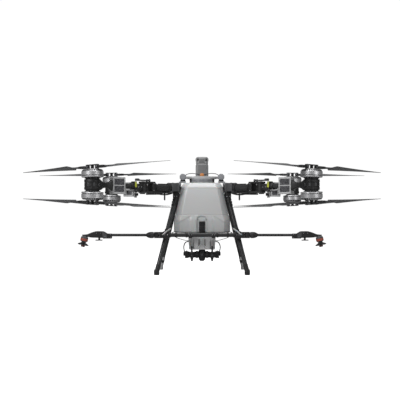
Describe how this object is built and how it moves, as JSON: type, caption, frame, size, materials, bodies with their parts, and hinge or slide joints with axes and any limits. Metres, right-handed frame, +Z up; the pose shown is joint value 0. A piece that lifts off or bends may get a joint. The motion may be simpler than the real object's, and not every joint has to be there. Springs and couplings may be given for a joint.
{
  "type": "agricultural spray drone",
  "caption": "Crop-spraying drone with coaxial folding rotors on hinged arms, a liquid tank, slide-in battery, landing legs and folding booms with spinning spray discs.",
  "frame": {"origin": "on the ground midway between the feet", "axes": "+Z up; the drone faces -Y; +X to the right when seen from the front"},
  "size_m": [2.8732, 2.5963, 0.97],
  "materials": {
    "carbon_tube": "satin carbon fibre",
    "blade_carbon": "satin carbon fibre",
    "black_plastic": "matte moulded",
    "motor_silver": "anodised satin",
    "tank_plastic": "translucent satin",
    "shell_plastic": "satin",
    "battery_shell": "satin",
    "orange_plastic": "satin",
    "hose_rubber": "matte"
  },
  "bodies": {
    "airframe": {"side_frame_left": "shell_plastic", "side_frame_right": "shell_plastic", "battery_bay": "black_plastic", "rear_beam": "carbon_tube", "rear_sensor": "black_plastic", "top_cover": "tank_plastic", "tank": "tank_plastic", "sump": "shell_plastic", "pump_manifold": "black_plastic", "hose_left": "hose_rubber", "hose_right": "hose_rubber", "crossbar": "carbon_tube", "leg_front_left": "carbon_tube", "arm_root_front_left": "carbon_tube", "leg_front_right": "carbon_tube", "arm_root_front_right": "carbon_tube", "leg_rear_left": "carbon_tube", "arm_root_rear_left": "carbon_tube", "leg_rear_right": "carbon_tube", "arm_root_rear_right": "carbon_tube"},
    "arm_front_left": {"arm_front_left": "carbon_tube"},
    "arm_lock_front_left": {"arm_lock_front_left": "black_plastic"},
    "rotor_front_left_upper": {"motor_front_left_upper": "motor_silver"},
    "blade_front_left_upper_a": {"blade_front_left_upper_a": "blade_carbon"},
    "blade_front_left_upper_b": {"blade_front_left_upper_b": "blade_carbon"},
    "rotor_front_left_lower": {"motor_front_left_lower": "motor_silver"},
    "blade_front_left_lower_a": {"blade_front_left_lower_a": "blade_carbon"},
    "blade_front_left_lower_b": {"blade_front_left_lower_b": "blade_carbon"},
    "arm_front_right": {"arm_front_right": "carbon_tube"},
    "arm_lock_front_right": {"arm_lock_front_right": "black_plastic"},
    "rotor_front_right_upper": {"motor_front_right_upper": "motor_silver"},
    "blade_front_right_upper_a": {"blade_front_right_upper_a": "blade_carbon"},
    "blade_front_right_upper_b": {"blade_front_right_upper_b": "blade_carbon"},
    "rotor_front_right_lower": {"motor_front_right_lower": "motor_silver"},
    "blade_front_right_lower_a": {"blade_front_right_lower_a": "blade_carbon"},
    "blade_front_right_lower_b": {"blade_front_right_lower_b": "blade_carbon"},
    "arm_rear_left": {"arm_rear_left": "carbon_tube"},
    "arm_lock_rear_left": {"arm_lock_rear_left": "black_plastic"},
    "rotor_rear_left_upper": {"motor_rear_left_upper": "motor_silver"},
    "blade_rear_left_upper_a": {"blade_rear_left_upper_a": "blade_carbon"},
    "blade_rear_left_upper_b": {"blade_rear_left_upper_b": "blade_carbon"},
    "rotor_rear_left_lower": {"motor_rear_left_lower": "motor_silver"},
    "blade_rear_left_lower_a": {"blade_rear_left_lower_a": "blade_carbon"},
    "blade_rear_left_lower_b": {"blade_rear_left_lower_b": "blade_carbon"},
    "arm_rear_right": {"arm_rear_right": "carbon_tube"},
    "arm_lock_rear_right": {"arm_lock_rear_right": "black_plastic"},
    "rotor_rear_right_upper": {"motor_rear_right_upper": "motor_silver"},
    "blade_rear_right_upper_a": {"blade_rear_right_upper_a": "blade_carbon"},
    "blade_rear_right_upper_b": {"blade_rear_right_upper_b": "blade_carbon"},
    "rotor_rear_right_lower": {"motor_rear_right_lower": "motor_silver"},
    "blade_rear_right_lower_a": {"blade_rear_right_lower_a": "blade_carbon"},
    "blade_rear_right_lower_b": {"blade_rear_right_lower_b": "blade_carbon"},
    "tank_cap": {"tank_cap": "shell_plastic"},
    "battery": {"battery": "battery_shell"},
    "boom_left": {"boom_left": "carbon_tube", "sprinkler_left": "black_plastic"},
    "spray_disc_left": {"spray_disc_left": "orange_plastic"},
    "boom_right": {"boom_right": "carbon_tube", "sprinkler_right": "black_plastic"},
    "spray_disc_right": {"spray_disc_right": "orange_plastic"}
  },
  "joints": [
    {"name": "arm_fold_front_left", "type": "hinge", "parent": "airframe", "child": "arm_front_left", "pos_m": [-0.463, -0.5115, 0.7], "axis": [0, 0, -1], "range_deg": [0, 130.4]},
    {"name": "arm_lock_front_left_lift", "type": "hinge", "parent": "airframe", "child": "arm_lock_front_left", "pos_m": [-0.42495, -0.47906, 0.7528], "axis": [-0.6488, 0.761, 0], "range_deg": [0, 75]},
    {"name": "rotor_spin_front_left_upper", "type": "hinge", "parent": "arm_front_left", "child": "rotor_front_left_upper", "pos_m": [-0.82677, -0.81774, 0.79495], "axis": [-0.0226, 0.0266, 0.9994], "continuous": true},
    {"name": "blade_fold_front_left_upper_a", "type": "hinge", "parent": "rotor_front_left_upper", "child": "blade_front_left_upper_a", "pos_m": [-0.7897, -0.84552, 0.84506], "axis": [-0.0226, 0.0266, 0.9994], "range_deg": [0, 66.2]},
    {"name": "blade_fold_front_left_upper_b", "type": "hinge", "parent": "rotor_front_left_upper", "child": "blade_front_left_upper_b", "pos_m": [-0.86603, -0.78739, 0.84178], "axis": [-0.0226, 0.0266, 0.9994], "range_deg": [0, 66.2]},
    {"name": "rotor_spin_front_left_lower", "type": "hinge", "parent": "arm_front_left", "child": "rotor_front_left_lower", "pos_m": [-0.82725, -0.81717, 0.62508], "axis": [0.0283, -0.0332, 0.999], "continuous": true},
    {"name": "blade_fold_front_left_lower_a", "type": "hinge", "parent": "rotor_front_left_lower", "child": "blade_front_left_lower_a", "pos_m": [-0.79047, -0.84462, 0.57458], "axis": [0.0283, -0.0332, 0.999], "range_deg": [0, 66.2]},
    {"name": "blade_fold_front_left_lower_b", "type": "hinge", "parent": "rotor_front_left_lower", "child": "blade_front_left_lower_b", "pos_m": [-0.86677, -0.78651, 0.57867], "axis": [0.0283, -0.0332, 0.999], "range_deg": [0, 66.2]},
    {"name": "arm_fold_front_right", "type": "hinge", "parent": "airframe", "child": "arm_front_right", "pos_m": [0.463, -0.5115, 0.7], "axis": [0, 0, 1], "range_deg": [0, 130.4]},
    {"name": "arm_lock_front_right_lift", "type": "hinge", "parent": "airframe", "child": "arm_lock_front_right", "pos_m": [0.42495, -0.47906, 0.7528], "axis": [-0.6488, -0.761, 0], "range_deg": [0, 75]},
    {"name": "rotor_spin_front_right_upper", "type": "hinge", "parent": "arm_front_right", "child": "rotor_front_right_upper", "pos_m": [0.82677, -0.81774, 0.79495], "axis": [0.0226, 0.0266, 0.9994], "continuous": true},
    {"name": "blade_fold_front_right_upper_a", "type": "hinge", "parent": "rotor_front_right_upper", "child": "blade_front_right_upper_a", "pos_m": [0.7897, -0.84552, 0.84506], "axis": [-0.0226, -0.0266, -0.9994], "range_deg": [0, 66.2]},
    {"name": "blade_fold_front_right_upper_b", "type": "hinge", "parent": "rotor_front_right_upper", "child": "blade_front_right_upper_b", "pos_m": [0.86603, -0.78739, 0.84178], "axis": [-0.0226, -0.0266, -0.9994], "range_deg": [0, 66.2]},
    {"name": "rotor_spin_front_right_lower", "type": "hinge", "parent": "arm_front_right", "child": "rotor_front_right_lower", "pos_m": [0.82725, -0.81717, 0.62508], "axis": [-0.0283, -0.0332, 0.999], "continuous": true},
    {"name": "blade_fold_front_right_lower_a", "type": "hinge", "parent": "rotor_front_right_lower", "child": "blade_front_right_lower_a", "pos_m": [0.79047, -0.84462, 0.57458], "axis": [0.0283, 0.0332, -0.999], "range_deg": [0, 66.2]},
    {"name": "blade_fold_front_right_lower_b", "type": "hinge", "parent": "rotor_front_right_lower", "child": "blade_front_right_lower_b", "pos_m": [0.86677, -0.78651, 0.57867], "axis": [0.0283, 0.0332, -0.999], "range_deg": [0, 66.2]},
    {"name": "arm_fold_rear_left", "type": "hinge", "parent": "airframe", "child": "arm_rear_left", "pos_m": [-0.463, 0.5115, 0.7], "axis": [0, 0, 1], "range_deg": [0, 100]},
    {"name": "arm_lock_rear_left_lift", "type": "hinge", "parent": "airframe", "child": "arm_lock_rear_left", "pos_m": [-0.42495, 0.47906, 0.7528], "axis": [0.6488, 0.761, 0], "range_deg": [0, 75]},
    {"name": "rotor_spin_rear_left_upper", "type": "hinge", "parent": "arm_rear_left", "child": "rotor_rear_left_upper", "pos_m": [-0.82677, 0.81774, 0.79495], "axis": [-0.0226, -0.0266, 0.9994], "continuous": true},
    {"name": "blade_fold_rear_left_upper_a", "type": "hinge", "parent": "rotor_rear_left_upper", "child": "blade_rear_left_upper_a", "pos_m": [-0.79111, 0.84728, 0.84507], "axis": [0.0226, 0.0266, -0.9994], "range_deg": [0, 58.5]},
    {"name": "blade_fold_rear_left_upper_b", "type": "hinge", "parent": "rotor_rear_left_upper", "child": "blade_rear_left_upper_b", "pos_m": [-0.86462, 0.78562, 0.84177], "axis": [0.0226, 0.0266, -0.9994], "range_deg": [0, 58.5]},
    {"name": "rotor_spin_rear_left_lower", "type": "hinge", "parent": "arm_rear_left", "child": "rotor_rear_left_lower", "pos_m": [-0.82725, 0.81717, 0.62508], "axis": [0.0283, 0.0332, 0.999], "continuous": true},
    {"name": "blade_fold_rear_left_lower_a", "type": "hinge", "parent": "rotor_rear_left_lower", "child": "blade_rear_left_lower_a", "pos_m": [-0.79188, 0.84639, 0.57456], "axis": [-0.0283, -0.0332, -0.999], "range_deg": [0, 58.5]},
    {"name": "blade_fold_rear_left_lower_b", "type": "hinge", "parent": "rotor_rear_left_lower", "child": "blade_rear_left_lower_b", "pos_m": [-0.86536, 0.78475, 0.57869], "axis": [-0.0283, -0.0332, -0.999], "range_deg": [0, 58.5]},
    {"name": "arm_fold_rear_right", "type": "hinge", "parent": "airframe", "child": "arm_rear_right", "pos_m": [0.463, 0.5115, 0.7], "axis": [0, 0, -1], "range_deg": [0, 100]},
    {"name": "arm_lock_rear_right_lift", "type": "hinge", "parent": "airframe", "child": "arm_lock_rear_right", "pos_m": [0.42495, 0.47906, 0.7528], "axis": [0.6488, -0.761, 0], "range_deg": [0, 75]},
    {"name": "rotor_spin_rear_right_upper", "type": "hinge", "parent": "arm_rear_right", "child": "rotor_rear_right_upper", "pos_m": [0.82677, 0.81774, 0.79495], "axis": [0.0226, -0.0266, 0.9994], "continuous": true},
    {"name": "blade_fold_rear_right_upper_a", "type": "hinge", "parent": "rotor_rear_right_upper", "child": "blade_rear_right_upper_a", "pos_m": [0.79111, 0.84728, 0.84507], "axis": [0.0226, -0.0266, 0.9994], "range_deg": [0, 58.5]},
    {"name": "blade_fold_rear_right_upper_b", "type": "hinge", "parent": "rotor_rear_right_upper", "child": "blade_rear_right_upper_b", "pos_m": [0.86462, 0.78562, 0.84177], "axis": [0.0226, -0.0266, 0.9994], "range_deg": [0, 58.5]},
    {"name": "rotor_spin_rear_right_lower", "type": "hinge", "parent": "arm_rear_right", "child": "rotor_rear_right_lower", "pos_m": [0.82725, 0.81717, 0.62508], "axis": [-0.0283, 0.0332, 0.999], "continuous": true},
    {"name": "blade_fold_rear_right_lower_a", "type": "hinge", "parent": "rotor_rear_right_lower", "child": "blade_rear_right_lower_a", "pos_m": [0.79188, 0.84639, 0.57456], "axis": [-0.0283, 0.0332, 0.999], "range_deg": [0, 58.5]},
    {"name": "blade_fold_rear_right_lower_b", "type": "hinge", "parent": "rotor_rear_right_lower", "child": "blade_rear_right_lower_b", "pos_m": [0.86536, 0.78475, 0.57869], "axis": [-0.0283, 0.0332, 0.999], "range_deg": [0, 58.5]},
    {"name": "tank_cap_flip", "type": "hinge", "parent": "airframe", "child": "tank_cap", "pos_m": [0, -0.064, 0.756], "axis": [-1, 0, 0], "range_deg": [0, 75]},
    {"name": "battery_lift", "type": "slide", "parent": "airframe", "child": "battery", "axis": [0, 0, 1], "range_m": [0, 0.25]},
    {"name": "boom_fold_left", "type": "hinge", "parent": "airframe", "child": "boom_left", "pos_m": [-0.36, -0.42, 0.32], "axis": [0, 0, -1], "range_deg": [0, 85]},
    {"name": "spray_disc_spin_left", "type": "hinge", "parent": "boom_left", "child": "spray_disc_left", "pos_m": [-0.9454, -0.42, 0.23609], "axis": [0.2079, 0, 0.9781], "continuous": true},
    {"name": "boom_fold_right", "type": "hinge", "parent": "airframe", "child": "boom_right", "pos_m": [0.36, -0.42, 0.32], "axis": [0, 0, 1], "range_deg": [0, 85]},
    {"name": "spray_disc_spin_right", "type": "hinge", "parent": "boom_right", "child": "spray_disc_right", "pos_m": [0.9454, -0.42, 0.23609], "axis": [-0.2079, 0, 0.9781], "continuous": true}
  ],
  "couplings": [
    {"joint": "blade_fold_front_left_upper_a", "follows": "arm_fold_front_left", "ratio": 0.50383},
    {"joint": "blade_fold_front_left_upper_b", "follows": "arm_fold_front_left", "ratio": 0.50383},
    {"joint": "blade_fold_front_left_lower_a", "follows": "arm_fold_front_left", "ratio": 0.50383},
    {"joint": "blade_fold_front_left_lower_b", "follows": "arm_fold_front_left", "ratio": 0.50383},
    {"joint": "blade_fold_front_right_upper_a", "follows": "arm_fold_front_right", "ratio": 0.50383},
    {"joint": "blade_fold_front_right_upper_b", "follows": "arm_fold_front_right", "ratio": 0.50383},
    {"joint": "blade_fold_front_right_lower_a", "follows": "arm_fold_front_right", "ratio": 0.50383},
    {"joint": "blade_fold_front_right_lower_b", "follows": "arm_fold_front_right", "ratio": 0.50383},
    {"joint": "blade_fold_rear_left_upper_a", "follows": "arm_fold_rear_left", "ratio": 0.58},
    {"joint": "blade_fold_rear_left_upper_b", "follows": "arm_fold_rear_left", "ratio": 0.58},
    {"joint": "blade_fold_rear_left_lower_a", "follows": "arm_fold_rear_left", "ratio": 0.58},
    {"joint": "blade_fold_rear_left_lower_b", "follows": "arm_fold_rear_left", "ratio": 0.58},
    {"joint": "blade_fold_rear_right_upper_a", "follows": "arm_fold_rear_right", "ratio": 0.58},
    {"joint": "blade_fold_rear_right_upper_b", "follows": "arm_fold_rear_right", "ratio": 0.58},
    {"joint": "blade_fold_rear_right_lower_a", "follows": "arm_fold_rear_right", "ratio": 0.58},
    {"joint": "blade_fold_rear_right_lower_b", "follows": "arm_fold_rear_right", "ratio": 0.58}
  ]
}
